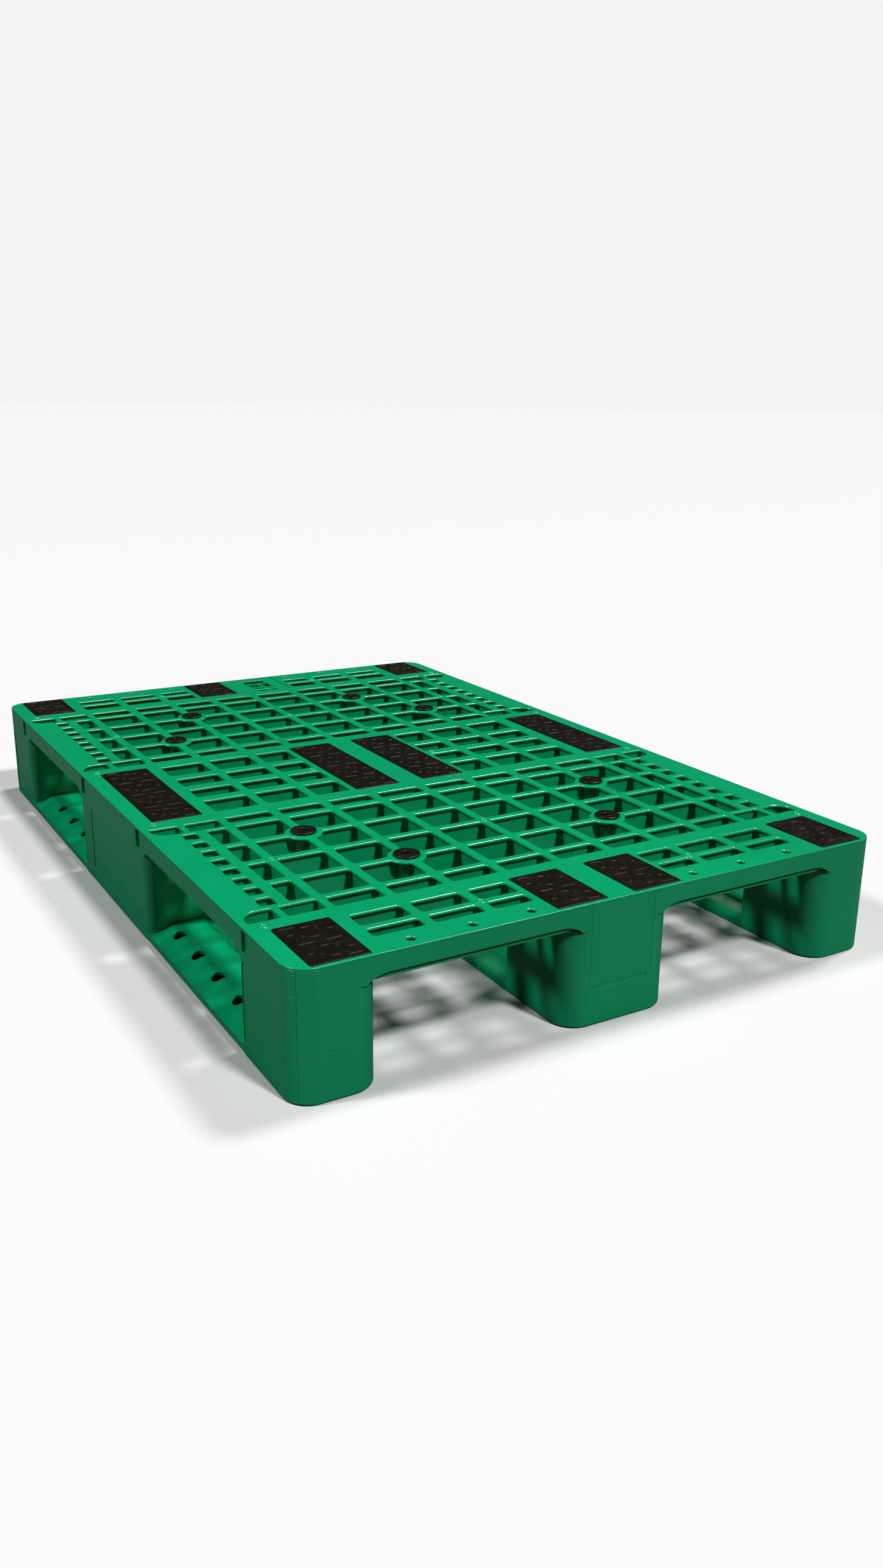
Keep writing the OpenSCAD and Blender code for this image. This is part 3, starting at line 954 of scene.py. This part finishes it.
def side_runner():
    """The runner under the +X edge."""
    x0 = HALF_W - SIDE_RUNNER_W
    x1 = HALF_W
    part = Shell("side")
    panel = Shell("panel")
    slot_cutter(panel, rectangle(-93, 93, *PANEL_Z, PANEL_R, hole=False), PANEL_DEPTH, side_face)
    radii = [INNER_R, INNER_R, OUTER_R, OUTER_R]
    part.merge(block(x0, x1, -MID_BLOCK_Y, MID_BLOCK_Y, radii, MID_RIBS, panel))
    panel = Shell("panel")
    slot_cutter(panel, rectangle(473, 566, *PANEL_Z, PANEL_R, hole=False), PANEL_DEPTH, side_face)
    corner_line(panel, SOLE_R, BLOCK_TOP + 5)
    slot_cutter(panel, rectangle(354, 368, 56, 57.4, 0.6, hole=False), 0.4, end_face)
    radii = [INNER_R, INNER_R, CORNER_R, OUTER_R]
    end = block(x0, x1, END_BLOCK_Y, HALF_L, radii, END_RIBS, panel)
    width = SIDE_RUNNER_W - BOARD_INSET
    skid = board(width, [width / 2 - RAMP], MID_BLOCK_Y - INNER_R, END_BLOCK_Y + INNER_R)
    end.merge(skid, lambda v: (v[0] + x0 + width / 2, v[1], v[2]))
    for y in WINDOW_Y:
        latch_hook(end, y)
    for s in SIDES:
        part.merge(end, lambda v, s=s: (v[0], s * v[1], v[2]))
    return part


def centre_runner():
    """The runner on the centre line."""
    half = CENTRE_HALF_W
    radii = [INNER_R] * 4
    part = Shell("centre")
    part.merge(block(-half, half, -MID_BLOCK_Y, MID_BLOCK_Y, radii, MID_RIBS))
    lines = Shell("lines")
    slot_cutter(lines, rectangle(-43, 37, 44, 49, 2.3, hole=False), 0.6, end_face)
    for x in LINE_X:
        vertical_line(lines, x, 50)
    end = block(-half, half, END_BLOCK_Y, HALF_L, radii, END_RIBS, lines)
    skid = board(2 * half, [RAMP - half, half - RAMP], MID_BLOCK_Y - INNER_R, END_BLOCK_Y + INNER_R)
    end.merge(skid)
    for s in SIDES:
        part.merge(end, lambda v, s=s: (v[0], s * v[1], v[2]))
    return part


def make_runners():
    """The three runners."""
    side = side_runner()
    for s, name in ((1, "right"), (-1, "left")):
        shell = Shell("runner_moulding_" + name)
        shell.merge(side, lambda v, s=s: (s * v[0], v[1], v[2]))
        shell.finish(GREEN, "runner_" + name)
    shell = Shell("runner_moulding_centre")
    shell.merge(centre_runner())
    shell.finish(GREEN, "runner_centre")


# ---------------------------------------------------------------- pads and grommets

TREAD = 0.5
TREAD_W = 2.2
PAD_LIP = 0.6
TREAD_ROOT = 0.3
RING_R = 14
RING_PITCH = 52


def bar(shell, x, y, length, angle, base):
    """A short raised bar with round ends."""
    half = length / 2
    r = TREAD_W / 2
    turn = Matrix.Rotation(math.radians(angle), 2)
    loop = []
    for px, py in rectangle(-half, half, -r, r, r * 0.98, hole=False, step_deg=30):
        v = turn @ Vector((px, py))
        loop.append((x + v.x, y + v.y))
    shell.plate([(loop, PAD_LIP)], base + TREAD, base - TREAD_ROOT, SEAM_LIP, steps=3)


def make_pad(node):
    """A rubber pad with rings, diagonal dashes and pairs of bars raised on its face."""
    low, high = PADS[node]
    shell = Shell(node + "_moulding")
    base = high.z - TREAD
    outline = rectangle(low.x, high.x, low.y, high.y, PAD_CORNER_R, hole=False)
    shell.plate([(outline, PAD_LIP)], base, low.z, 0.1)
    cx = (low.x + high.x) / 2
    length = high.y - low.y
    count = round(length / RING_PITCH)
    pitch = length / count
    for k in range(count):
        y = low.y + (k + 0.5) * pitch
        outer = circle(cx, y, RING_R, 36, hole=False)
        inner = circle(cx, y, 11.8, 36)
        ring = [(outer, PAD_LIP), (inner, PAD_LIP)]
        shell.plate(ring, base + TREAD, base - TREAD_ROOT, SEAM_LIP, steps=3)
        for a in (45, 135, 225, 315):
            reach = 18
            dx = reach * math.cos(math.radians(a))
            dy = reach * math.sin(math.radians(a))
            bar(shell, cx + dx, y + dy, 5, a, base)
        for s in SIDES:
            bar(shell, cx + s * 22, y, 7, 0, base)
    for k in range(1, count):
        for s in SIDES:
            bar(shell, cx + s * 15, low.y + k * pitch, 19, 0, base)
    for s in SIDES:
        bar(shell, cx + s * 19, (low.y if s > 0 else high.y) + s * 7, 16, 0, base)
    shell.finish(PAD_BLACK, node)


def make_grommet(node):
    """A turned rubber grommet: stem, thin foot ring, head with a rounded rim and a dished top."""
    low, high = box_mm(node)
    x = (low.x + high.x) / 2
    y = (low.y + high.y) / 2
    r = (high.x - low.x) / 2
    h = high.z - TOP
    stem = low.z - TOP
    bore = 5.5
    rim = 1.3
    profile = [(bore, stem), (9.6, stem), (9.6, 0.02), (r - 1.6, 0.02), (r - 1.3, 0.5)]
    profile += arc_points(r - rim, h - rim - 0.2, rim, -40, 90, 6)
    profile += [(r - 3.5, h - 0.35), (bore + 3, h - 0.6)]
    profile += [(bore + 2.2, h - 0.35)] + arc_points(bore + 1.2, h - 1.2, 1.2, 90, 180, 4)
    shell = Shell(node + "_moulding")
    shell.lathe(profile, x, y, TOP, 56)
    shell.finish(GROMMET_BLACK, node)


# ---------------------------------------------------------------- camera, floor and light


def make_camera():
    """Camera at the photograph's viewing angle: in front of the left front corner, looking down."""
    data = bpy.data.cameras.new("camera")
    camera = bpy.data.objects.new("camera", data)
    bpy.context.scene.collection.objects.link(camera)
    data.sensor_fit = "HORIZONTAL"
    data.sensor_width = 36
    data.lens = 51.1
    data.clip_end = 50
    place = Vector((-0.827, -1.597, 0.679))
    aim = Vector((0.0296, -0.1502, 0.150))
    turn = (aim - place).to_track_quat("-Z", "Y").to_matrix().to_4x4()
    roll = Matrix.Rotation(math.radians(0.72), 4, "Z")
    camera.matrix_world = Matrix.Translation(place) @ turn @ roll
    bpy.context.scene.camera = camera


def soft_sun(name, towards, strength, spread_deg):
    """A broad soft light from far away, in the direction given as seen from the pallet."""
    data = bpy.data.lights.new(name, "SUN")
    data.energy = strength
    data.angle = math.radians(spread_deg)
    lamp = bpy.data.objects.new(name, data)
    bpy.context.scene.collection.objects.link(lamp)
    lamp.location = Vector(towards) * 4
    lamp.rotation_euler = (-Vector(towards)).to_track_quat("-Z", "Y").to_euler()


def make_studio():
    """Pale floor, pale surroundings and three soft lights."""
    mesh = bpy.data.meshes.new("floor")
    half = 60
    corners = [(-half, -half, 0), (half, -half, 0), (half, half, 0), (-half, half, 0)]
    mesh.from_pydata(corners, [], [(0, 1, 2, 3)])
    mesh.materials.append(floor_paint())
    floor = bpy.data.objects.new("floor", mesh)
    bpy.context.scene.collection.objects.link(floor)
    world = bpy.data.worlds.new("studio")
    world.use_nodes = True
    tree = world.node_tree
    pale = tree.nodes["Background"]
    pale.inputs["Color"].default_value = (1, 1, 1, 1)
    pale.inputs["Strength"].default_value = 0.9
    fill = tree.nodes.new("ShaderNodeBackground")
    fill.inputs["Color"].default_value = (1, 1, 1, 1)
    fill.inputs["Strength"].default_value = 0.012
    path = tree.nodes.new("ShaderNodeLightPath")
    choose = tree.nodes.new("ShaderNodeMixShader")
    tree.links.new(path.outputs["Is Camera Ray"], choose.inputs[0])
    tree.links.new(fill.outputs[0], choose.inputs[1])
    tree.links.new(pale.outputs[0], choose.inputs[2])
    tree.links.new(choose.outputs[0], tree.nodes["World Output"].inputs["Surface"])
    bpy.context.scene.world = world
    bpy.context.scene.view_settings.view_transform = "Standard"
    soft_sun("front_light", (0.16, -0.60, 0.78), 2.3, 7)
    soft_sun("left_light", (-0.66, 0.16, 0.72), 1.5, 9)
    soft_sun("right_light", (0.50, 0.08, 0.86), 1.5, 10)


make_camera()
make_studio()
make_deck()
make_runners()
for pad_name in sorted(PADS):
    make_pad(pad_name)
for node_name in sorted(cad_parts):
    if "grommet" in node_name:
        make_grommet(node_name)
